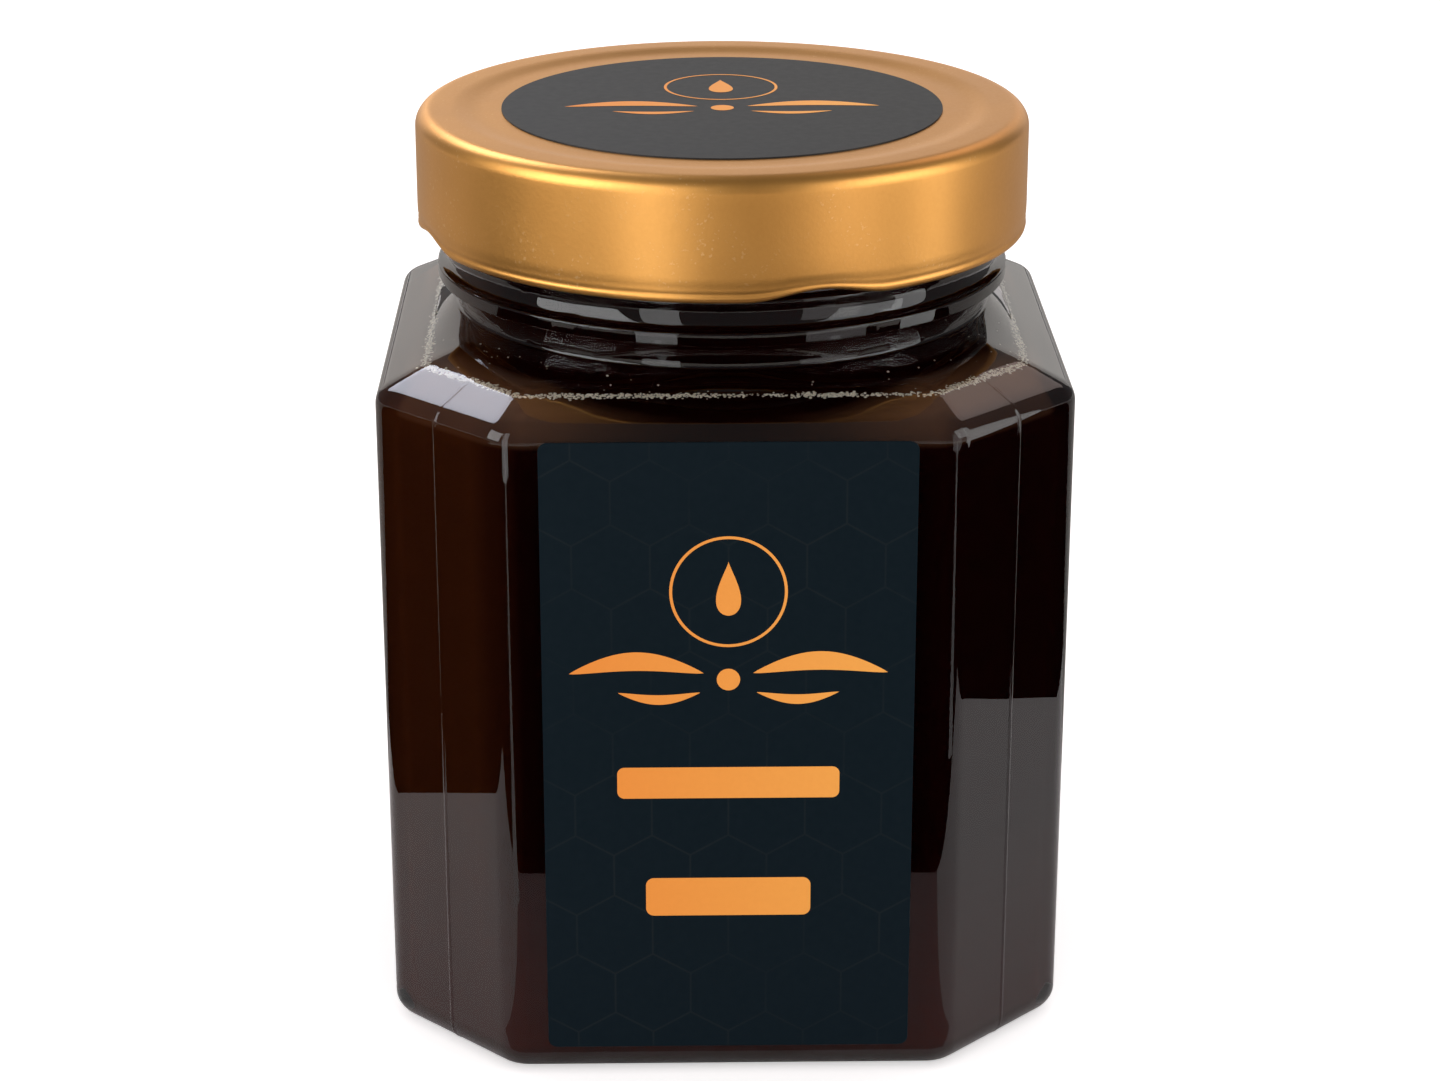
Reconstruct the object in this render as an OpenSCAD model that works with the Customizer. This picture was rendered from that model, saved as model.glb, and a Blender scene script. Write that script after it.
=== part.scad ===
// Honey jar: eight-sided glass body, round neck, twist-off metal lid, paper label and lid sticker.
// Millimetres, +Z up, base on Z = 0, labelled face towards -Y.

/* [Body] */
// width and depth across the flat faces
body_w = 76.8; // [60:0.1:110]
// width of a main face as a fraction of the body width
face_frac = 0.638; // [0.45:0.005:0.8]
// height at which the flat faces end
face_h = 76.3; // [55:0.1:120]
// radius on the upright corners
corner_r = 3; // [1:0.5:5]
// radius between faces and base
heel_r = 3; // [1.5:0.1:4]
// how far the shoulder bevel steps in
bevel_in = 5.1; // [3:0.1:7]
// height of the shoulder bevel
bevel_h = 2.4; // [1.5:0.1:4]
// glass thickness of the side walls
wall_t = 3.5; // [2.5:0.1:6]
// glass thickness of the base
base_t = 4.5; // [3:0.1:9]

/* [Neck] */
// neck radius as a fraction of the body width
neck_frac = 0.395; // [0.3:0.005:0.41]
// rise of the shoulder top from the bevel to the neck
shoulder_rise = 2; // [1:0.1:4]
// height from the foot of the neck to the mouth
neck_h = 21; // [18:0.1:30]
// how far the neck bead stands out
bead_out = 2.2; // [1:0.1:2.8]
// height of the bead above the foot of the neck
bead_up = 4.5; // [3.5:0.1:6]
// glass thickness of the neck
neck_t = 3.2; // [2:0.1:5]

/* [Lid] */
// overall height of the lid
lid_h = 13.6; // [10:0.1:17]
// radial space between the neck and the skirt
lid_gap = 3.8; // [3.2:0.1:5]
// wall of the lid
lid_t = 0.55; // [0.4:0.05:1.5]
// radius on the top edge of the lid
lid_edge_r = 1.9; // [1:0.1:3]
// drop of the middle panel below the rim
panel_drop = 0.4; // [0.2:0.05:0.8]
// width of each pinched lug in the hem
lug_w = 17; // [10:0.5:24]
// height of each pinch in the hem
lug_h = 1; // [0.5:0.1:1.6]

/* [Label and sticker] */
// label width as a fraction of the face width
label_frac = 0.824; // [0.5:0.005:0.88]
// bottom edge of the label above the base
label_low = 3.5; // [3.2:0.1:20]
// gap between the label and the end of the flat face
label_high = 1.1; // [1:0.1:20]
// thickness of the label
label_t = 0.25; // [0.1:0.05:0.5]
// corner radius of the label
label_r = 1; // [0.5:0.1:4]
// sticker radius as a fraction of the lid radius
sticker_frac = 0.719; // [0.4:0.005:0.78]
// thickness of the sticker
sticker_t = 0.2; // [0.1:0.05:0.4]

/* [Honey] */
// distance from the mouth down to the honey
headspace = 10; // [6:0.1:15]

/* [Hidden] */

half_w = body_w / 2;
face_w = body_w * face_frac;
chamfer_d = (half_w + face_w / 2) / sqrt(2);
bevel_z = face_h + bevel_h;
neck_r = body_w * neck_frac;
neck_z = bevel_z + shoulder_rise;
finish_r = neck_r + 0.5;
bore_r = neck_r - neck_t;
bead_r = neck_r + bead_out;
bead_z = neck_z + bead_up;
mouth_z = neck_z + neck_h;
ring_z = bead_z + 3;
honey_z = mouth_z - headspace;

lid_r = neck_r + lid_gap + lid_t;
lid_top = mouth_z + 1;
lid_low = lid_top - lid_h;
edge_z = lid_top - lid_edge_r;
panel_z = lid_top - panel_drop;
panel_r = lid_r * 0.81;
step_r = panel_r + 0.5;
hem_in = 1.4;
hem_h = 1.3;
lug_in = lid_r - 3.1;
lug_count = 4;
lug_turn = 287;
notch_r = (lug_w * lug_w / 4 + lug_h * lug_h) / (2 * lug_h);
notch_z = lid_low + lug_h - notch_r;
sticker_r = lid_r * sticker_frac;

label_w = face_w * label_frac;
label_top = face_h - label_high;
label_h = label_top - label_low;

// angles that spread one eighth of a circular ring like an eight-sided ring
arc_steps = [0, 6, 12, 18, 24, 28, 32, 36, 40.5];
ring_n = 72;

// one eighth of an eight-sided ring, from a face centre towards a chamfer centre
function eighth(d, e, r) =
  let (c = (e - r) * sqrt(2) - (d - r))
  let (m = e / sqrt(2))
  let (tx = d - r + r * cos(45))
  let (ty = c + r * sin(45))
  concat(
    [for (k = [0:3]) [d, c * k / 4]],
    [for (k = [0:3]) [d - r + r * cos(15 * k), c + r * sin(15 * k)]],
    [[(tx + m) / 2, (ty + m) / 2]]
  );

function turned(p, a) = [p[0] * cos(a) - p[1] * sin(a), p[0] * sin(a) + p[1] * cos(a)];

// a quarter: the eighth, its chamfer centre, and the eighth mirrored about 45 degrees
function quarter(h, m) = concat(h, [m], [for (k = [8:-1:1]) [h[k][1], h[k][0]]]);

function around(q, z) = [for (a = [0:90:270]) for (p = q) concat(turned(p, a), z)];

// eight-sided ring at height z, moved in from the outer faces
function oct(z, inset, r) =
  let (d = half_w - inset)
  let (e = chamfer_d - inset)
  around(quarter(eighth(d, e, r), [e / sqrt(2), e / sqrt(2)]), z);

// round ring at height z
function circ(z, r) =
  let (h = [for (a = arc_steps) [r * cos(a), r * sin(a)]])
  around(quarter(h, [r * cos(45), r * sin(45)]), z);

// a ring part of the way from ring p to ring q
function mixed(p, q, t) = [for (k = [0:ring_n - 1]) p[k] * (1 - t) + q[k] * t];

function heel(a) = oct(heel_r * (1 - cos(a)), heel_r * (1 - sin(a)), corner_r);

shoulder_edge = oct(bevel_z + 0.1, bevel_in + 0.5, 1.5);
neck_foot = circ(neck_z - 0.1, neck_r + 0.7);

outside = [
  heel(0), heel(22.5), heel(45), heel(67.5), heel(90),
  oct(face_h - 0.6, 0, corner_r),
  oct(face_h + 0.05, 0.3, corner_r),
  oct(face_h + 0.4, 0.9, 2.6),
  oct(bevel_z - 0.25, bevel_in - 0.5, 1.8),
  shoulder_edge,
  mixed(shoulder_edge, neck_foot, 0.5),
  neck_foot,
  circ(neck_z + 0.5, neck_r),
  circ(bead_z - 1.7, neck_r),
  circ(bead_z - 1.3, bead_r - 0.6),
  circ(bead_z - 0.6, bead_r),
  circ(bead_z + 0.5, bead_r),
  circ(bead_z + 1.2, bead_r - 0.6),
  circ(bead_z + 1.7, finish_r),
  circ(ring_z - 0.6, finish_r),
  circ(ring_z, finish_r + 0.6),
  circ(ring_z + 0.6, finish_r),
  circ(mouth_z - 0.9, finish_r),
  circ(mouth_z, finish_r - 0.8)
];

// walls of the space inside, from the floor up to the bore
inside = [
  oct(base_t, wall_t + 4, 2.5),
  oct(base_t + 1.2, wall_t + 1.2, 2.5),
  oct(base_t + 4, wall_t, 2.5),
  oct(face_h - 6, wall_t, 2.5),
  oct(face_h - 3.8, wall_t + 0.4, 2.5),
  oct(face_h - 2.2, wall_t + 1.6, 2.5),
  oct(face_h - 0.9, wall_t + 4.5, 2.5),
  circ(neck_z - 2.4, bore_r + 0.9),
  circ(neck_z - 0.8, bore_r)
];

rim = [circ(mouth_z - 0.6, bore_r), circ(mouth_z, bore_r + 0.6)];

function reversed(l) = [for (k = [len(l) - 1:-1:0]) l[k]];

// a solid skin over a list of rings, closed by flat caps at both ends; lean picks the way the sides are split
module skin(rings, lean = false) {
  last = (len(rings) - 1) * ring_n;
  mid = last + ring_n;
  mids = [[0, 0, rings[0][0][2]], [0, 0, rings[len(rings) - 1][0][2]]];
  sides = [for (i = [0:len(rings) - 2]) for (j = [0:ring_n - 1])
    let (a = i * ring_n + j)
    let (b = i * ring_n + (j + 1) % ring_n)
    let (c = a + ring_n)
    let (d = b + ring_n)
    each lean ? [[a, c, b], [b, c, d]] : [[a, c, d], [a, d, b]]];
  foot = [for (j = [0:ring_n - 1]) [j, (j + 1) % ring_n, mid]];
  head = [for (j = [0:ring_n - 1]) [last + (j + 1) % ring_n, last + j, mid + 1]];
  polyhedron(concat([for (g = rings) each g], mids), concat(sides, foot, head), 4);
}

module glass() {
  color([0.8, 0.85, 0.85, 0.4]) skin(concat(outside, reversed(rim), reversed(inside)));
}

module honey() {
  color([0.15, 0.05, 0.02]) skin(concat(inside, [circ(honey_z, bore_r)]), true);
}

// half section of the lid, radius along X
module lid_section() {
  difference() {
    union() {
      translate([0, lid_low]) square([lid_r, lid_h - lid_edge_r]);
      translate([0, edge_z]) square([lid_r - lid_edge_r, lid_edge_r]);
      translate([lid_r - lid_edge_r, edge_z]) circle(lid_edge_r, $fn = 48);
    }
    translate([0, lid_low - 1]) square([lid_r - hem_in, hem_h + 1]);
    translate([0, lid_low + hem_h]) square([lid_r - lid_t, mouth_z - lid_edge_r - lid_low - hem_h]);
    translate([0, mouth_z - lid_edge_r]) square([lid_r - lid_edge_r, lid_edge_r]);
    polygon([[0, panel_z], [panel_r, panel_z], [step_r, lid_top], [step_r, lid_top + 1], [0, lid_top + 1]]);
  }
}

module lug() {
  translate([0, 0, lid_low + hem_h + 0.2]) {
    rotate([0, 0, -10]) rotate_extrude(angle = 20, $fn = 96) {
      translate([lug_in, 0]) square([lid_r - lid_t / 2 - lug_in, 1]);
    }
  }
}

module lid() {
  color([0.8, 0.6, 0.35]) union() {
    difference() {
      rotate_extrude($fn = 96) lid_section();
      for (k = [0:lug_count - 1]) {
        rotate([0, 0, lug_turn + 360 * k / lug_count]) {
          translate([lid_r - 3, 0, notch_z]) rotate([0, 90, 0]) cylinder(h = 6, r = notch_r, $fn = 96);
        }
      }
    }
    for (k = [0:lug_count - 1]) rotate([0, 0, lug_turn + 360 * k / lug_count]) lug();
  }
}

module front_label() {
  color([0.07, 0.1, 0.13]) translate([0, -half_w, (label_low + label_top) / 2]) rotate([90, 0, 0]) {
    linear_extrude(label_t) union() {
      square([label_w - 2 * label_r, label_h], center = true);
      square([label_w, label_h - 2 * label_r], center = true);
      for (x = [-1, 1]) for (y = [-1, 1]) {
        translate([x * (label_w / 2 - label_r), y * (label_h / 2 - label_r)]) circle(label_r, $fn = 32);
      }
    }
  }
}

module lid_sticker() {
  color([0.3, 0.31, 0.32]) translate([0, 0, panel_z]) cylinder(h = sticker_t, r = sticker_r, $fn = 96);
}

glass();
honey();
lid();
front_label();
lid_sticker();
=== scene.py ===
"""Honey jar: glass, honey, twist-off lid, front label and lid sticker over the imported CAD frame."""
import math
import random

import bmesh
import bpy
from mathutils import Matrix, Vector, noise


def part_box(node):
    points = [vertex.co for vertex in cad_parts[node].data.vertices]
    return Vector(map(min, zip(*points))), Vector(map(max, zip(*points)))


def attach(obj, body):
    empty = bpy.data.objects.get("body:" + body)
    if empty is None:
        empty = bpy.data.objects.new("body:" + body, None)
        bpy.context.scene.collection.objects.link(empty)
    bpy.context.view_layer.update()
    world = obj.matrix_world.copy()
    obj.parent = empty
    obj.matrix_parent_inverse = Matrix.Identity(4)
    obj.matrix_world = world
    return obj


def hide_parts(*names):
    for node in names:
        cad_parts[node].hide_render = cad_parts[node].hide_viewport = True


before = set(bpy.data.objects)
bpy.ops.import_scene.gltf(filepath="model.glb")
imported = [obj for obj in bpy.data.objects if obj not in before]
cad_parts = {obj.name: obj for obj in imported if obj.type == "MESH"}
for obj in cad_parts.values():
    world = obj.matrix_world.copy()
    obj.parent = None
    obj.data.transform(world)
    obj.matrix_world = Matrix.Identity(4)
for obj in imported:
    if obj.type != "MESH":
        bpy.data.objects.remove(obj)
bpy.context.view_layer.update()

MM = 0.001

# ---------------------------------------------------------------- sizes, in millimetres, from the CAD frame


def corners_mm(node):
    low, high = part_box(node)
    return low / MM, high / MM


glass_low, glass_high = corners_mm("glass")
honey_low, honey_high = corners_mm("honey")
lid_low, lid_high = corners_mm("lid")
label_low, label_high = corners_mm("front_label")
sticker_low, sticker_high = corners_mm("lid_sticker")

# the glass body
HALF_W = glass_high.x
WALL = HALF_W - honey_high.x
BASE = honey_low.z
MOUTH = glass_high.z
NECK_H = 21.0
SHOULDER_RISE = 2.0
BEVEL_H = 2.4
BEVEL_IN = 5.1
NECK_FOOT = MOUTH - NECK_H
BEVEL_TOP = NECK_FOOT - SHOULDER_RISE
FACE_TOP = BEVEL_TOP - BEVEL_H
BEVEL_SLOPE = math.atan2(BEVEL_H, BEVEL_IN)
FACE_FRAC = 0.638
CHAMFER = HALF_W * (1 + FACE_FRAC) / math.sqrt(2)
CORNER_R = 3.8
HEEL_R = 3.0
CREASE_R = 2.4
INSIDE_CORNER_R = 2.5
INSIDE_FOOT_R = 4.0

# the neck; FOOT_R is the small curve where it meets the shoulder
NECK_FRAC = 0.395
NECK_WALL = 3.2
NECK_R = HALF_W * 2 * NECK_FRAC
BORE_R = NECK_R - NECK_WALL
FINISH_R = NECK_R + 0.5
BEAD_R = NECK_R + 2.2
BEAD_Z = NECK_FOOT + 4.5
RING_Z = BEAD_Z + 3.0
FOOT_R = 0.5

# how far the honey reaches into the wall and further down into the base, and its foot's curve
HONEY_GROW = 0.2
HONEY_DIP = 3.4
HONEY_FOOT_R = 1.6

# the lid and the pinched lugs in its hem
LID_R = lid_high.x
LID_TOP = lid_high.z
LID_FOOT = lid_low.z
LID_EDGE_R = 1.9
LID_WALL = 0.35
LID_STEPS = 288
LUG_COUNT = 4
LUG_TURN = math.radians(287)
LUG_HALF = 8.5
LUG_RISE = 1.0
LUG_PINCH = 0.3
LUG_REACH = 3.2

# printed ink lies this thick, and papers stop this far short of their CAD nodes to make room for it
INK = 0.02
INK_ROOM = 0.03

# ---------------------------------------------------------------- mesh helpers


def new_object(name, bm, material, smooth=True):
    """An object from a mesh made in millimetres, which it frees."""
    mesh = bpy.data.meshes.new(name)
    bm.normal_update()
    bm.to_mesh(mesh)
    bm.free()
    mesh.transform(Matrix.Scale(MM, 4))
    for p in mesh.polygons:
        p.use_smooth = smooth
    mesh.materials.append(material)
    obj = bpy.data.objects.new(name, mesh)
    bpy.context.collection.objects.link(obj)
    return obj


def loft(rings):
    """A skin over closed rings of equal length, with fans over its two ends."""
    bm = bmesh.new()
    rows = [[bm.verts.new(p) for p in ring] for ring in rings]
    n = len(rows[0])
    for low, high in zip(rows, rows[1:]):
        for j in range(n):
            k = (j + 1) % n
            bm.faces.new((low[j], low[k], high[k], high[j]))
    for row, flip in ((rows[0], True), (rows[-1], False)):
        middle = bm.verts.new(sum((v.co for v in row), Vector()) / n)
        for j in range(n):
            k = (j + 1) % n
            bm.faces.new((row[k], row[j], middle) if flip else (row[j], row[k], middle))
    return bm


def weigh_normals(obj):
    """Keeps large flat faces flat under smooth shading."""
    mod = obj.modifiers.new("weighted", "WEIGHTED_NORMAL")
    mod.keep_sharp = True
    mod.weight = 100


# ---------------------------------------------------------------- the eight-sided rings

FLAT_STEPS = [0, 0.09, 0.18, 0.27, 0.36, 0.45, 0.54, 0.63, 0.72, 0.81, 0.89, 0.95, 0.985]
ARC_STEPS = 8
# distances from a chamfer's middle line, with the narrow mould seam last
CHAMFER_STEPS = [0.985, 0.9, 0.7, 0.5, 0.3, 0.12, 0.04]
SEAM_HALF = 0.22
SEAM_HIGH = 0.14


def eighth(d, e, r, seam):
    """From a face's middle to a chamfer's middle: face at distance d, chamfer at e, corner radius r."""
    c = (e - r) * math.sqrt(2) - (d - r)
    pts = [(d, c * f) for f in FLAT_STEPS]
    for k in range(ARC_STEPS + 1):
        a = math.radians(45 * k / ARC_STEPS)
        pts.append((d - r + r * math.cos(a), c + r * math.sin(a)))
    mid = e / math.sqrt(2)
    end = pts[-1]
    for f in CHAMFER_STEPS:
        pts.append((mid + (end[0] - mid) * f, mid + (end[1] - mid) * f))
    lean = SEAM_HALF / math.sqrt(2)
    pts.append((mid + lean, mid - lean))
    out = seam / math.sqrt(2)
    return pts, (mid + out, mid + out)


def ring8(inset, z, r=CORNER_R, seam=0.0):
    """The body's eight-sided outline, drawn in by inset, with a mould seam of height seam on each chamfer."""
    half, mid = eighth(HALF_W - inset, CHAMFER - inset, r, seam)
    quarter = half + [mid] + [(y, x) for x, y in reversed(half[1:])]
    ring = []
    for turn in range(4):
        ca, sa = math.cos(math.pi / 2 * turn), math.sin(math.pi / 2 * turn)
        ring += [Vector((x * ca - y * sa, x * sa + y * ca, z)) for x, y in quarter]
    return ring


# the directions of a ring's points, which the round rings share
SPREAD = [math.atan2(p.y, p.x) for p in ring8(0, 0)]


def ring0(radius, z):
    return [Vector((radius * math.cos(a), radius * math.sin(a), z)) for a in SPREAD]


def between(p, q, t, z):
    """The ring a share t of the way from p to q, laid at height z."""
    return [Vector((a.x + (b.x - a.x) * t, a.y + (b.y - a.y) * t, z)) for a, b in zip(p, q)]


def arc(count, start, end):
    """Angles in radians from start to end, which are in degrees."""
    return [math.radians(start + (end - start) * k / count) for k in range(count + 1)]


def outer_rings():
    """The outside from the base over heel, faces, bevel, shoulder, bead and ring to the mouth."""
    rings = [ring8(HEEL_R + 8, 0), ring8(HEEL_R + 0.4, 0)]
    for a in arc(8, 0, 90):
        inset, z = HEEL_R * (1 - math.sin(a)), HEEL_R * (1 - math.cos(a))
        rings.append(ring8(inset, z, seam=SEAM_HIGH * math.sin(a)))
    for f in (0.03, 0.25, 0.5, 0.75, 0.96):
        rings.append(ring8(0, HEEL_R + (FACE_TOP - HEEL_R) * f, seam=SEAM_HIGH))
    turn = 90 - math.degrees(BEVEL_SLOPE)
    reach = CREASE_R * math.tan(math.radians(turn / 2))
    for a in arc(8, 0, turn):
        inset, z = CREASE_R * (1 - math.cos(a)), FACE_TOP - reach + CREASE_R * math.sin(a)
        rings.append(ring8(inset, z, seam=SEAM_HIGH))
    for f in (0.45, 0.65, 0.85):
        rings.append(ring8(BEVEL_IN * f, FACE_TOP + BEVEL_H * f, CORNER_R - 0.8 * f, SEAM_HIGH))
    rings.append(ring8(BEVEL_IN - 0.15, BEVEL_TOP - 0.1, 2.9, SEAM_HIGH))
    edge = ring8(BEVEL_IN + 0.2, BEVEL_TOP + 0.03, 2.8, SEAM_HIGH * 0.5)
    foot = ring0(NECK_R + FOOT_R, NECK_FOOT - 0.12)
    rings.append(edge)
    rise = foot[0].z - edge[0].z
    for t in (0.12, 0.25, 0.4, 0.55, 0.7, 0.82, 0.92):
        rings.append(between(edge, foot, t, edge[0].z + rise * t ** 0.9))
    for a in arc(5, 0, 80):
        r = NECK_R + FOOT_R * (1 - math.sin(a))
        rings.append(ring0(r, NECK_FOOT - 0.12 + FOOT_R * (1 - math.cos(a))))
    band_low, band_high = BEAD_Z - 1.35, BEAD_Z + 0.1
    rings += [ring0(NECK_R, NECK_FOOT + 0.9), ring0(NECK_R + 0.1, band_low - 1.1)]
    rings.append(ring0(NECK_R + 0.5, band_low - 0.55))
    for a in arc(6, -90, 0):
        rings.append(ring0(BEAD_R - 0.35 + 0.35 * math.cos(a), band_low + 0.35 * (1 + math.sin(a)) - 0.2))
    for a in arc(6, 0, 90):
        rings.append(ring0(BEAD_R - 0.3 + 0.3 * math.cos(a), band_high - 0.3 + 0.3 * math.sin(a)))
    rings += [ring0(FINISH_R + 0.8, band_high + 0.1), ring0(FINISH_R + 0.25, band_high + 0.5)]
    rings.append(ring0(FINISH_R, BEAD_Z + 1.9))
    for a in arc(6, -90, 90):
        rings.append(ring0(FINISH_R + 0.6 * math.cos(a), RING_Z + 0.6 * math.sin(a)))
    rings += [ring0(FINISH_R, RING_Z + 0.9), ring0(FINISH_R, MOUTH - 1.0)]
    for a in arc(5, 0, 90):
        rings.append(ring0(FINISH_R - 0.8 * (1 - math.cos(a)), MOUTH - 0.8 + 0.8 * math.sin(a)))
    return rings


def inner_rings(grow=0.0, dip=0.0, foot_r=INSIDE_FOOT_R):
    """The inside walls from floor to bore, moved outwards by grow, with the floor sunk by dip."""
    w = WALL - grow
    floor = BASE - grow - dip
    foot, turn_in = floor + foot_r, FACE_TOP - 6
    rings = [ring8(w + 10, floor, INSIDE_CORNER_R)]
    for a in arc(7, 0, 90):
        inset, z = w + foot_r * (1 - math.sin(a)), floor + foot_r * (1 - math.cos(a))
        rings.append(ring8(inset, z, INSIDE_CORNER_R))
    for f in (0.1, 0.4, 0.7, 0.95):
        rings.append(ring8(w, foot + (turn_in - foot) * f, INSIDE_CORNER_R))
    for a in arc(8, 0, 80):
        inset, z = w + 5.2 * (1 - math.cos(a)), turn_in + grow + 5.0 * math.sin(a)
        rings.append(ring8(inset, z, INSIDE_CORNER_R))
    roof = ring8(w + 5.2, FACE_TOP - 0.8 + grow, 2.2)
    bore_r, bore_z = BORE_R + grow, NECK_FOOT - 2.6 + grow
    bore = ring0(bore_r + 1.0, bore_z)
    for t in (0.3, 0.6, 0.85):
        rings.append(between(roof, bore, t, roof[0].z + (bore[0].z - roof[0].z) * t))
    for a in arc(4, 0, 90):
        rings.append(ring0(bore_r + 1.0 * (1 - math.sin(a)), bore_z + 1.8 * (1 - math.cos(a))))
    return rings


# ---------------------------------------------------------------- material helpers


class Nodes:
    """Short spelling for building a node tree."""

    def __init__(self, tree):
        self.tree = tree
        tree.nodes.clear()

    def add(self, kind, **values):
        node = self.tree.nodes.new(kind)
        for key, value in values.items():
            setattr(node, key, value)
        return node

    def link(self, a, b):
        self.tree.links.new(a, b)

    def put(self, socket, value):
        if isinstance(value, bpy.types.NodeSocket):
            self.link(value, socket)
        else:
            socket.default_value = value

    def math(self, op, a, b=0.0, c=0.0, clamp=False):
        node = self.add("ShaderNodeMath", operation=op, use_clamp=clamp)
        for socket, value in zip(node.inputs, (a, b, c)):
            self.put(socket, value)
        return node.outputs[0]

    def rise(self, value, start, width):
        """0 before start and 1 once the value is width past it; a negative width runs downwards."""
        return self.math("MULTIPLY_ADD", value, 1 / width, -start / width, clamp=True)

    def mix(self, factor, a, b):
        node = self.add("ShaderNodeMix", data_type="RGBA")
        self.put(node.inputs[0], factor)
        self.put(node.inputs[6], a)
        self.put(node.inputs[7], b)
        return node.outputs[2]

    def ramp(self, factor, stops):
        node = self.add("ShaderNodeValToRGB")
        self.put(node.inputs[0], factor)
        els = node.color_ramp.elements
        while len(els) < len(stops):
            els.new(0.5)
        for el, (place, colour) in zip(els, stops):
            el.position = place
            el.color = (*colour, 1) if isinstance(colour, tuple) else (colour, colour, colour, 1)
        return node.outputs[0]

    def noise(self, where, scale, detail=2.0, rough=0.5):
        node = self.add("ShaderNodeTexNoise")
        self.put(node.inputs["Vector"], where)
        node.inputs["Scale"].default_value = scale
        node.inputs["Detail"].default_value = detail
        node.inputs["Roughness"].default_value = rough
        return node.outputs[0]

    def stretch(self, where, scale):
        node = self.add("ShaderNodeMapping")
        self.put(node.inputs["Vector"], where)
        node.inputs["Scale"].default_value = scale
        return node.outputs[0]

    def bump(self, height, strength, distance):
        node = self.add("ShaderNodeBump")
        self.put(node.inputs["Height"], height)
        node.inputs["Strength"].default_value = strength
        node.inputs["Distance"].default_value = distance
        return node.outputs[0]


def new_material(name):
    """A material, its node helper, its Principled shader and the object coordinates."""
    material = bpy.data.materials.new(name)
    material.use_nodes = True
    n = Nodes(material.node_tree)
    shader = n.add("ShaderNodeBsdfPrincipled")
    out = n.add("ShaderNodeOutputMaterial")
    n.link(shader.outputs[0], out.inputs["Surface"])
    place = n.add("ShaderNodeTexCoord").outputs["Object"]
    return material, n, shader, place


def glass_material():
    """Clear glass with the slow waves of a moulded wall."""
    material, n, shader, place = new_material("container_glass")
    shader.inputs["Base Color"].default_value = (0.97, 0.985, 0.98, 1)
    shader.inputs["Transmission Weight"].default_value = 1
    shader.inputs["IOR"].default_value = 1.5
    shader.inputs["Roughness"].default_value = 0.01
    waves = n.noise(n.stretch(place, (1, 1, 0.6)), 50, 0)
    n.link(n.bump(waves, 0.05, 0.0022), shader.inputs["Normal"])
    return material


def honey_material():
    """Dark honey is all but opaque; it wets the wall, so it mirrors nothing of its own there.

    Its brown at the left, at the shoulder's corners and near the foot is painted light, not the honey's own
    colour.
    """
    material, n, shader, place = new_material("dark_honey")
    sep = n.add("ShaderNodeSeparateXYZ")
    n.link(place, sep.inputs[0])
    cloud = n.noise(n.stretch(place, (1, 1, 0.35)), 26, 2)
    x, y, z = sep.outputs
    # painted light: brown at the left side, broken up by the cloud noise
    side = n.rise(x, -0.0225, -0.004)
    side = n.math("MULTIPLY", side, n.math("MULTIPLY_ADD", cloud, 0.8, 0.5, clamp=True))
    tone = n.mix(side, (0.0062, 0.0005, 0.0004, 1), (0.036, 0.0085, 0.0020, 1))
    # painted light: strong brown at the shoulder's corners, away from the axis
    from_axis = n.math("SQRT", n.math("ADD", n.math("POWER", x, 2.0), n.math("POWER", y, 2.0)))
    corner = n.rise(from_axis, 0.0332, 0.0045)
    shoulder = n.rise(z, FACE_TOP * MM - 0.003, 0.003)
    tone = n.mix(n.math("MULTIPLY", shoulder, corner), tone, (0.200, 0.088, 0.043, 1))
    # painted light: brown growing towards the foot
    foot = n.rise(z, 0.0264, -0.024)
    tone = n.mix(n.math("MULTIPLY", foot, 0.8), tone, (0.040, 0.0062, 0.0036, 1))
    n.link(tone, shader.inputs["Base Color"])
    shader.inputs["Specular IOR Level"].default_value = 0
    shader.inputs["Roughness"].default_value = 0.4
    return material


def lid_material():
    """Satin gold lacquer: cloudy tone, fine grain, and pale specks in patches."""
    material, n, shader, place = new_material("gold_lacquered_tinplate")
    cloud = n.noise(place, 60, 3)
    grain = n.noise(place, 2300, 2)
    speck = n.ramp(grain, [(0.62, 0.0), (0.7, 1.0)])
    patches = n.ramp(n.noise(place, 120, 2), [(0.48, 0.0), (0.62, 1.0)])
    tone = n.mix(cloud, (0.75, 0.355, 0.083, 1), (0.95, 0.485, 0.135, 1))
    tone = n.mix(n.math("MULTIPLY", grain, 0.3), tone, (0.70, 0.31, 0.07, 1))
    shine = n.math("MULTIPLY", speck, n.math("MULTIPLY", patches, 0.5))
    n.link(n.mix(shine, tone, (1.0, 0.66, 0.3, 1)), shader.inputs["Base Color"])
    shader.inputs["Metallic"].default_value = 1
    rough = n.math("MULTIPLY_ADD", cloud, 0.08, 0.31)
    n.link(n.math("MULTIPLY_ADD", grain, 0.1, rough), shader.inputs["Roughness"])
    shader.inputs["Coat Weight"].default_value = 0.08
    shader.inputs["Coat Roughness"].default_value = 0.3
    n.link(n.bump(grain, 0.1, 0.0001), shader.inputs["Normal"])
    return material


def paper_material(name, low, high, rough):
    """Satin paper whose fibres run between two tones."""
    material, n, shader, place = new_material(name)
    fibre = n.noise(place, 900, 4, 0.6)
    n.link(n.mix(fibre, low, high), shader.inputs["Base Color"])
    n.link(n.math("MULTIPLY_ADD", fibre, 0.12, rough), shader.inputs["Roughness"])
    n.link(n.bump(fibre, 0.1, 0.00005), shader.inputs["Normal"])
    return material


# ---------------------------------------------------------------- glass and honey


def keep(obj, slot, *nodes):
    """The piece rides on the jar's only body, and the CAD nodes given are hidden; slot is not used."""
    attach(obj, "root")
    if nodes:
        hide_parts(*nodes)
    return obj


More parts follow.
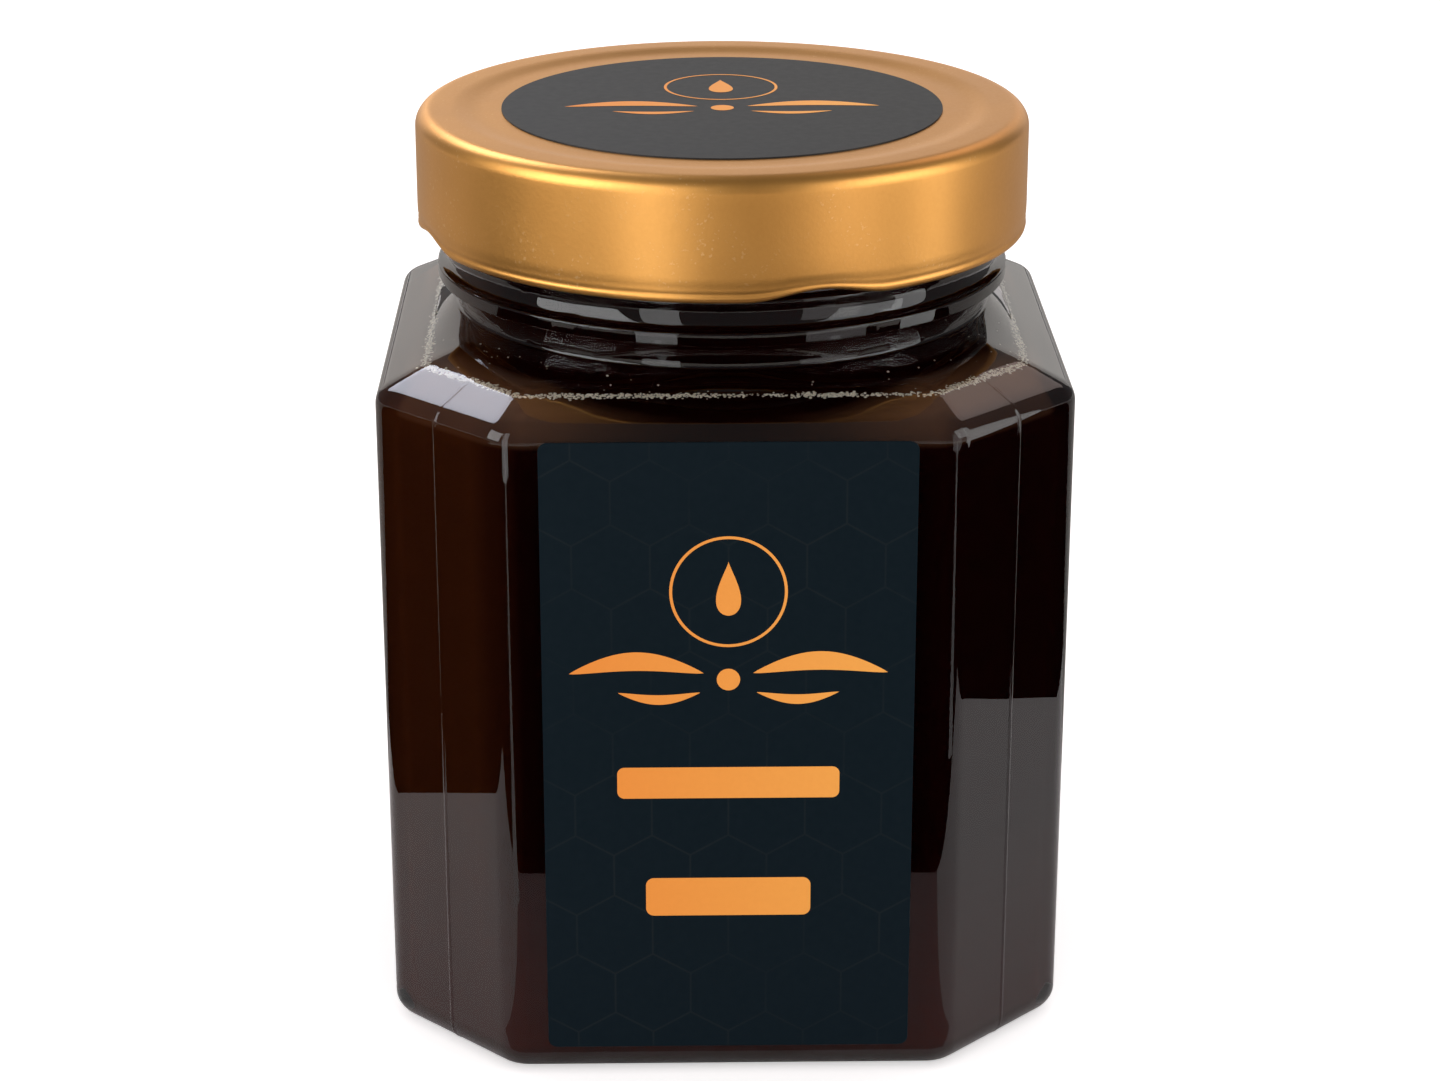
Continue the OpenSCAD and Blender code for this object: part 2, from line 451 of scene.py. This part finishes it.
def make_glass():
    rim = [ring0(BORE_R + 0.6, MOUTH), ring0(BORE_R + 0.15, MOUTH - 0.2), ring0(BORE_R, MOUTH - 0.7)]
    rings = outer_rings() + rim + list(reversed(inner_rings()))
    obj = new_object("jar_glass", loft(rings), glass_material())
    weigh_normals(obj)
    return keep(obj, "glass", "glass")


def make_honey():
    """The honey up to its level, which creeps up the bore's wall a little."""
    top = honey_high.z
    rings = inner_rings(HONEY_GROW, HONEY_DIP, HONEY_FOOT_R)
    r = BORE_R + HONEY_GROW
    rings += [ring0(r, top - 1.0), ring0(r, top + 0.5), ring0(r - 0.5, top + 0.12)]
    rings += [ring0(r - 1.4, top), ring0(r * 0.5, top)]
    obj = new_object("honey_fill", loft(rings), honey_material())
    weigh_normals(obj)
    return keep(obj, "honey", "honey")


def froth_material():
    """Pale, slightly yellow bubbles of uneven tone."""
    material, n, shader, place = new_material("pale_froth")
    tone = n.noise(place, 900, 2)
    n.link(n.mix(tone, (0.72, 0.62, 0.48, 1), (1.0, 0.94, 0.82, 1)), shader.inputs["Base Color"])
    shader.inputs["Roughness"].default_value = 0.35
    return material


def bubble_pattern():
    """Points and faces of one small flattened ball of radius 1."""
    bm = bmesh.new()
    bmesh.ops.create_icosphere(bm, subdivisions=1, radius=1)
    points = [Vector((v.co.x, v.co.y, v.co.z * 0.6)) for v in bm.verts]
    faces = [tuple(v.index for v in f.verts) for f in bm.faces]
    bm.free()
    return points, faces


BUBBLE_POINTS, BUBBLE_FACES = bubble_pattern()


def add_bubble(bm, spot, radius):
    made = [bm.verts.new(spot + p * radius) for p in BUBBLE_POINTS]
    for face in BUBBLE_FACES:
        bm.faces.new([made[i] for i in face])


FROTH_PER_MM = 26
LOOSE_BUBBLES = 170


def make_froth():
    """A broken line of fine froth under the shoulder's edge, and a few bubbles inside it."""
    rng = random.Random(7)
    bm = bmesh.new()
    edge = ring8(BEVEL_IN + 0.35, BEVEL_TOP - 0.32, 2.6)
    count = len(edge)
    lengths = [(edge[(i + 1) % count] - edge[i]).length for i in range(count)]
    for i, length in enumerate(lengths):
        for k in range(int(length * FROTH_PER_MM + rng.random())):
            t = rng.random()
            spot = edge[i].lerp(edge[(i + 1) % count], t)
            amount = 0.5 + 0.5 * noise.noise(spot * 0.16)
            if rng.random() > amount * 1.7:
                continue
            inward = Vector((-spot.x, -spot.y, 0)).normalized()
            shift = rng.gauss(0.2, 0.2 + 0.2 * amount)
            spot += inward * shift + Vector((0, 0, rng.uniform(-0.15, 0.05)))
            add_bubble(bm, spot, rng.uniform(0.07, 0.2))
    for k in range(LOOSE_BUBBLES):
        angle = rng.uniform(0, 2 * math.pi)
        reach = rng.uniform(NECK_R + 0.5, CHAMFER - 7)
        spot = Vector((reach * math.cos(angle), reach * math.sin(angle), BEVEL_TOP - 0.35))
        if max(abs(spot.x), abs(spot.y)) > HALF_W - BEVEL_IN - 0.4:
            continue
        add_bubble(bm, spot, rng.uniform(0.05, 0.14))
    obj = new_object("honey_froth", bm, froth_material())
    return keep(obj, "honey")


# ---------------------------------------------------------------- lid


def lathe(profile, count, shift):
    """Turns a closed (radius, height) profile about Z; shift(angle, r, z) moves each point."""
    bm = bmesh.new()
    rows = []
    for k in range(count):
        a = 2 * math.pi * k / count
        row = []
        for r, z in profile:
            rr, zz = shift(a, r, z)
            row.append(bm.verts.new((rr * math.cos(a), rr * math.sin(a), zz)))
        rows.append(row)
    m = len(profile)
    for k in range(count):
        here, there = rows[k], rows[(k + 1) % count]
        for i in range(m):
            j = (i + 1) % m
            bm.faces.new((here[i], there[i], there[j], here[j]))
    return bm


def lug_nearness(a):
    """1 at a lug's middle, 0 beyond its ends."""
    step = 2 * math.pi / LUG_COUNT
    off = (a - LUG_TURN + step / 2) % step - step / 2
    x = abs(off) * LID_R / LUG_HALF
    return 0.5 + 0.5 * math.cos(math.pi * x) if x < 1 else 0.0


def lid_shift(a, r, z):
    """Pinches the hem in and up at the lugs."""
    if z > LID_FOOT + LUG_REACH or r < LID_R - 3:
        return r, z
    near = lug_nearness(a)
    fall = max(0.0, 1 - (z - LID_FOOT) / LUG_REACH)
    return r - LUG_PINCH * near * fall, z + LUG_RISE * near * fall


def lid_profile():
    """From the panel's middle over its step, the edge, the skirt and the rolled hem, and back inside."""
    top, foot, edge = LID_TOP, LID_FOOT, LID_EDGE_R
    panel = sticker_low.z
    step = LID_R * 0.81
    pts = [(0.001, panel), (step * 0.5, panel), (step - 1.2, panel), (step - 0.3, panel + 0.02)]
    pts += [(step + 0.5, panel + 0.12), (step + 1.3, top - 0.12)]
    pts += [(step + 2.0, top - 0.02), (step + 2.6, top)]
    pts += [(LID_R - edge - 0.4, top), (LID_R - edge, top - 0.01)]
    for a in arc(10, 80, 0):
        pts.append((LID_R - edge + edge * math.cos(a), top - edge + edge * math.sin(a)))
    for f in (0.05, 0.3, 0.55, 0.75):
        pts.append((LID_R, top - edge - (top - edge - foot) * f))
    pts += [(LID_R - 0.02, foot + 2.0), (LID_R - 0.12, foot + 1.55), (LID_R - 0.05, foot + 1.2)]
    for a in arc(10, 40, -180):
        pts.append((LID_R - 0.62 + 0.6 * math.cos(a), foot + 0.62 + 0.62 * math.sin(a)))
    pts += [(LID_R - 1.0, foot + 1.2), (LID_R - LID_WALL - 0.25, foot + 1.6)]
    pts += [(LID_R - LID_WALL, foot + 2.4), (LID_R - LID_WALL, top - edge)]
    pts += [(LID_R - edge, top - LID_WALL - 0.6), (step, MOUTH + 0.02), (0.001, MOUTH + 0.02)]
    return pts


def make_lid():
    obj = new_object("gold_lid", lathe(lid_profile(), LID_STEPS, lid_shift), lid_material())
    weigh_normals(obj)
    return keep(obj, "lid", "lid")


# ---------------------------------------------------------------- label and sticker


def rounded_outline(width, height, radius, steps, cz=0.0):
    """A rectangle with rounded corners, as (x, z) points."""
    pts = []
    for sx, sz, start in ((1, 1, 0), (-1, 1, 90), (-1, -1, 180), (1, -1, 270)):
        x, z = sx * (width / 2 - radius), cz + sz * (height / 2 - radius)
        pts += [(x + radius * math.cos(a), z + radius * math.sin(a)) for a in arc(steps, start, start + 90)]
    return pts


def rounded_plate(width, height, radius, thick, edge=0.04):
    """A thin plate with rounded corners, lying in X and Z with its back on Y = 0."""
    rings = []
    for inset, y in ((edge, -thick), (0, edge - thick), (0, 0.0)):
        outline = rounded_outline(width - 2 * inset, height - 2 * inset, radius - inset, 6)
        rings.append([Vector((x, y, z)) for x, z in reversed(outline)])
    return loft(rings)


def shape_plate(points, thick):
    """A flat printed shape in X and Z, its back on Y = 0."""
    bm = bmesh.new()
    face = bm.faces.new([bm.verts.new((x, -thick, z)) for x, z in points])
    bmesh.ops.triangulate(bm, faces=[face])
    return bm


def label_material():
    """Dark satin paper with a faint hexagon line pattern that fades in and out."""
    material, n, shader, place = new_material("navy_label_print")
    sep = n.add("ShaderNodeSeparateXYZ")
    n.link(place, sep.inputs[0])
    cell = 0.0084
    row = cell * math.sqrt(3)
    line_width = 0.00016

    def from_middle(along, shift, period):
        """Distance to the middle of the period that the point lies in."""
        within = n.math("FLOORED_MODULO", n.math("ADD", along, shift), period)
        return n.math("ABSOLUTE", n.math("SUBTRACT", within, period / 2))

    def hex_reach(dx, dz):
        """Distance from the middle of a hexagon in one of the two staggered grids, cell / 2 at its edge."""
        ax, az = from_middle(sep.outputs[0], dx, cell), from_middle(sep.outputs[2], dz, row)
        lean = n.math("ADD", n.math("MULTIPLY", ax, 0.5), n.math("MULTIPLY", az, math.sqrt(3) / 2))
        return n.math("MAXIMUM", ax, lean)

    near = n.math("MINIMUM", hex_reach(cell * 8, 0.0), hex_reach(cell * 8.5, row / 2))
    from_edge = n.math("DIVIDE", n.math("SUBTRACT", cell / 2, near), line_width)
    line = n.math("SUBTRACT", 1.0, from_edge, clamp=True)
    fade = n.ramp(n.noise(place, 45, 1), [(0.35, 0.25), (0.65, 1.0)])
    fibre = n.noise(place, 1100, 4, 0.6)
    paper = n.mix(fibre, (0.0024, 0.0092, 0.0148, 1), (0.0040, 0.0118, 0.0178, 1))
    print_mask = n.math("MULTIPLY", n.math("MULTIPLY", line, fade), 0.8)
    n.link(n.mix(print_mask, paper, (0.0125, 0.0185, 0.0215, 1)), shader.inputs["Base Color"])
    shader.inputs["Specular IOR Level"].default_value = 0.08
    n.link(n.math("MULTIPLY_ADD", fibre, 0.12, 0.42), shader.inputs["Roughness"])
    n.link(n.bump(fibre, 0.08, 0.00004), shader.inputs["Normal"])
    return material


def orange_material():
    """Orange ink that turns lighter from left to right, with a little speckle."""
    material, n, shader, place = new_material("orange_print")
    sep = n.add("ShaderNodeSeparateXYZ")
    n.link(place, sep.inputs[0])
    across = n.math("MULTIPLY_ADD", sep.outputs[0], 26.0, 0.5, clamp=True)
    tone = n.ramp(across, [(0.0, (0.93, 0.29, 0.045)), (1.0, (1.0, 0.44, 0.085))])
    speck = n.noise(place, 1500, 3)
    n.link(n.mix(n.math("MULTIPLY", speck, 0.18), tone, (0.75, 0.24, 0.04, 1)), shader.inputs["Base Color"])
    shader.inputs["Roughness"].default_value = 0.42
    shader.inputs["Specular IOR Level"].default_value = 0.15
    return material


def drop_points(cz, size):
    """A honey drop: round below, drawn to a point above."""
    pts = []
    for k in range(48):
        t = 2 * math.pi * k / 48
        half = 0.62 * math.sin(t) * math.sin(t / 2) ** 1.5
        pts.append((size * half, cz + size * math.cos(t)))
    return pts


def ring_strip(cz, radius, width, count=72):
    """A thin printed circle as quads."""
    bm = bmesh.new()
    rows = []
    for k in range(count):
        a = 2 * math.pi * k / count
        edges = (radius - width / 2, radius + width / 2)
        rows.append([bm.verts.new((r * math.cos(a), 0, cz + r * math.sin(a))) for r in edges])
    for here, there in zip(rows, rows[1:] + rows[:1]):
        bm.faces.new((here[0], here[1], there[1], there[0]))
    return bm


def leaf_points(cx, cz, length, height, lean):
    """A long tapered stroke that bows by lean."""
    top, low = [], []
    for k in range(33):
        t = k / 32
        bow = lean * math.sin(math.pi * t)
        half = height / 2 * math.sin(math.pi * t) ** 0.8
        x = cx + length * (t - 0.5)
        top.append((x, cz + bow + half))
        low.append((x, cz + bow - half))
    return low + top[-2:0:-1]


def merge_into(bm, other, move=(0, 0, 0)):
    """Adds the other mesh, moved, and frees it."""
    mesh = bpy.data.meshes.new("tmp")
    other.to_mesh(mesh)
    other.free()
    mesh.transform(Matrix.Translation(move))
    bm.from_mesh(mesh)
    bpy.data.meshes.remove(mesh)


def emblem(scale):
    """A generic emblem: a drop inside a thin circle, over two mirrored pairs of strokes and a dot."""
    bm = bmesh.new()

    def stamp(points, side=1):
        merge_into(bm, shape_plate([(side * x * scale, z * scale) for x, z in points], INK))

    stamp(drop_points(9.6, 3.3))
    merge_into(bm, ring_strip(9.2 * scale, 6.6 * scale, 0.34 * scale), (0, -INK, 0))
    for side in (-1, 1):
        stamp(leaf_points(10.6, -0.8, 15.5, 2.3, 1.5), side)
        stamp(leaf_points(8.0, -3.2, 9.5, 1.2, -0.9), side)
    stamp([(1.35 * math.cos(a), 1.35 * math.sin(a) - 1.6) for a in arc(24, 0, 345)])
    return bm


def make_label(orange):
    """The front label: dark paper, a generic emblem and two bare orange bars."""
    width = label_high.x - label_low.x
    height = label_high.z - label_low.z
    middle = (label_high.z + label_low.z) / 2
    face_y = label_high.y
    thick = (label_high.y - label_low.y) - INK_ROOM
    shape = rounded_plate(width, height, 1.0, thick)
    plate = new_object("front_label_paper", shape, label_material(), smooth=False)
    plate.location = (0, face_y * MM, middle * MM)
    keep(plate, "front_label", "front_label")
    prints = bmesh.new()
    merge_into(prints, shape_plate(rounded_outline(24.3, 3.7, 0.8, 8, -3.4), INK))
    merge_into(prints, shape_plate(rounded_outline(18.2, 4.6, 0.9, 8, -17.2), INK))
    merge_into(prints, emblem(0.94), (0, 0, 10.3))
    bmesh.ops.recalc_face_normals(prints, faces=prints.faces)
    art = new_object("front_label_print", prints, orange, smooth=False)
    art.location = (0, (face_y - thick) * MM, middle * MM)
    keep(art, "front_label")


def make_sticker(orange):
    """The lid's round sticker with a smaller emblem, read from the label's side."""
    radius = sticker_high.x
    thick = sticker_high.z - sticker_low.z - INK_ROOM
    rings = [(radius, 0), (radius, thick - 0.04), (radius - 0.04, thick), (radius * 0.5, thick)]
    bm = loft([[Vector((r * math.cos(t), r * math.sin(t), z)) for t in arc(180, 0, 358)] for r, z in rings])
    dark, light = (0.0085, 0.0105, 0.0125, 1), (0.0115, 0.0135, 0.0155, 1)
    navy = paper_material("navy_sticker_print", dark, light, 0.46)
    disc = new_object("lid_sticker_paper", bm, navy, smooth=False)
    disc.location = (0, 0, sticker_low.z * MM)
    keep(disc, "lid_sticker", "lid_sticker")
    art = new_object("lid_sticker_print", emblem(0.97), orange, smooth=False)
    art.rotation_euler = (math.radians(-90), 0, 0)
    art.location = (0, 0, (sticker_low.z + thick) * MM)
    keep(art, "lid_sticker")


# ---------------------------------------------------------------- stage

# the white sheet under the jar as the glass mirrors it: left, right, front and back edges
SHEET = (-0.100, 0.131, -0.089, 0.04)
CARD_FAR = 1.2
AIM = Vector((0, 0, 0.07))


def matt(name, colour):
    """A matt stage material."""
    material, n, shader, place = new_material(name)
    shader.inputs["Base Color"].default_value = (*colour, 1)
    shader.inputs["Roughness"].default_value = 1
    shader.inputs["Specular IOR Level"].default_value = 0
    return material


def make_floor():
    """A pale floor, a little brighter to the camera so that it comes out white."""
    bm = bmesh.new()
    bmesh.ops.create_grid(bm, x_segments=2, y_segments=2, size=3000)
    material, n, shader, place = new_material("pale_floor")
    tone = n.mix(n.noise(place, 9, 2), (0.89, 0.84, 0.84, 1), (0.91, 0.86, 0.86, 1))
    n.link(tone, shader.inputs["Base Color"])
    shader.inputs["Roughness"].default_value = 1
    shader.inputs["Specular IOR Level"].default_value = 0
    shader.inputs["Emission Color"].default_value = (1, 1, 1, 1)
    seen = n.add("ShaderNodeLightPath").outputs["Is Camera Ray"]
    n.link(n.math("MULTIPLY", seen, 0.5), shader.inputs["Emission Strength"])
    floor = new_object("floor", bm, material, smooth=False)


def card(name, material, height, outlines):
    """Flat quads over the floor, seen only in reflections; outlines in metres, height in millimetres."""
    bm = bmesh.new()
    for outline in outlines:
        bm.faces.new([bm.verts.new((x / MM, y / MM, height)) for x, y in outline])
    obj = new_object(name, bm, material, smooth=False)
    obj.visible_camera = False
    obj.visible_diffuse = False
    obj.visible_transmission = False
    obj.visible_shadow = False


def rectangle(x0, x1, y0, y1):
    """Corners in metres."""
    return [(x0, y0), (x1, y0), (x1, y1), (x0, y1)]


def make_cards():
    """Cards round the white sheet: dark ones that flag it off, pale ones that draw light lines."""
    left, right, front, back = SHEET
    far = CARD_FAR
    black = matt("black_card", (0.004, 0.004, 0.004))
    card("flag_front", black, 0.4, [rectangle(-far, far, -far, front)])
    card("flag_left", black, 0.4, [rectangle(-far, left, front, back)])
    card("flag_right", black, 0.4, [rectangle(right, far, front, back)])
    # painted shade: a grey card for the shade on the floor just in front of the jar, seen only in reflections
    grey = matt("grey_card", (0.45, 0.33, 0.33))
    card("shade_front", grey, 0.4, [rectangle(-0.034, 0.034, front, -0.041)])
    back_grey = matt("back_card", (0.42, 0.40, 0.38))
    card("shade_back", back_grey, 0.3, [rectangle(-far, far, back, far)])

    # a wide arc in front of the jar that the lid's skirt mirrors
    near, out, steps = 0.32, 0.8, 24
    rim = [(math.cos(a), math.sin(a)) for a in arc(steps, -165, -15)]
    quads = [[(near * a, near * b), (out * a, out * b), (out * c, out * d), (near * c, near * d)]
             for (a, b), (c, d) in zip(rim, rim[1:])]
    card("far_sheet", matt("far_card", (0.8, 0.75, 0.69)), 0.6, quads)

    # thin strips on the floor that run out to the upright lights
    white = matt("white_card", (0.9, 0.9, 0.9))
    for name, around, start, width in (("line_left", 25, 0.085, 0.013), ("line_right", -42, 0.13, 0.02)):
        turn = math.radians(around)
        ahead = Vector((-math.sin(turn), -math.cos(turn)))
        across = Vector((ahead.y, -ahead.x)) * width / 2
        ends = (ahead * start - across, ahead * start + across, ahead * 0.3 + across, ahead * 0.3 - across)
        card(name, white, 0.8, [[(p.x, p.y) for p in ends]])


def make_world():
    """Even white light all round, which the gloss of the glass and the lid sees only dimly."""
    world = bpy.data.worlds.new("studio")
    bpy.context.scene.world = world
    world.use_nodes = True
    n = Nodes(world.node_tree)
    out = n.add("ShaderNodeOutputWorld")
    dim = n.add("ShaderNodeBackground")
    dim.inputs["Color"].default_value = (0.15, 0.15, 0.15, 1)
    white = n.add("ShaderNodeBackground")
    white.inputs["Color"].default_value = (1, 1, 1, 1)
    mixer = n.add("ShaderNodeMixShader")
    n.link(n.add("ShaderNodeLightPath").outputs["Is Glossy Ray"], mixer.inputs[0])
    n.link(white.outputs[0], mixer.inputs[1])
    n.link(dim.outputs[0], mixer.inputs[2])
    n.link(mixer.outputs[0], out.inputs["Surface"])


def softbox(name, around, up, distance, width, height, radiance, colour=(1, 1, 1)):
    """An area light facing the jar; around is degrees from the front towards the left."""
    turn, rise = math.radians(around), math.radians(up)
    toward = Vector((-math.sin(turn) * math.cos(rise), -math.cos(turn) * math.cos(rise), math.sin(rise)))
    data = bpy.data.lights.new(name, "AREA")
    data.shape = "RECTANGLE"
    data.size, data.size_y = width, height
    data.energy = radiance * math.pi * width * height
    data.color = colour
    obj = bpy.data.objects.new(name, data)
    bpy.context.collection.objects.link(obj)
    obj.visible_diffuse = False
    obj.location = AIM + toward * distance
    obj.rotation_euler = toward.to_track_quat("Z", "Y").to_euler()
    return obj


def strip(name, around, distance, width, height, radiance, colour=(1, 1, 1)):
    """An upright light that stands on the floor near the jar, facing it."""
    turn = math.radians(around)
    toward = Vector((-math.sin(turn), -math.cos(turn), 0))
    obj = softbox(name, around, 0, distance, width, height, radiance, colour)
    obj.location = toward * distance + Vector((0, 0, height / 2 + 0.002))


def make_lights():
    softbox("back_wall", 180, 14, 0.9, 1.3, 0.40, 0.72, (1.0, 0.95, 0.9))
    softbox("window_back_left", 145, 43, 0.8, 0.36, 0.3, 5.8, (0.84, 0.87, 1.0))
    softbox("fill_back_right", 216, 42, 0.8, 0.36, 0.3, 1.1, (1.0, 0.8, 0.74))
    softbox("wide_left", 62, 24, 0.7, 0.5, 0.5, 3.8)
    softbox("wide_right", -62, 24, 0.7, 0.4, 0.5, 2.2)
    strip("strip_front_left", 25, 0.24, 0.065, 0.3, 1.9)
    strip("panel_front_right", -42, 0.26, 0.11, 0.2, 0.85, (1.0, 0.95, 0.95))
    strip("strip_side_right", -79, 0.26, 0.07, 0.25, 2.0)


def make_camera():
    data = bpy.data.cameras.new("camera")
    data.sensor_width = 36
    data.lens = 86.54
    camera = bpy.data.objects.new("camera", data)
    bpy.context.collection.objects.link(camera)
    camera.location = (-0.0070, -0.3844, 0.1923)
    looks = Vector((0.0165, 0.9376, -0.3474))
    camera.rotation_euler = looks.to_track_quat("-Z", "Y").to_euler()
    bpy.context.scene.camera = camera


bpy.context.scene.view_settings.view_transform = "Standard"
make_camera()
make_world()
make_lights()
make_floor()
make_cards()
make_glass()
make_honey()
make_froth()
make_lid()
orange_ink = orange_material()
make_label(orange_ink)
make_sticker(orange_ink)
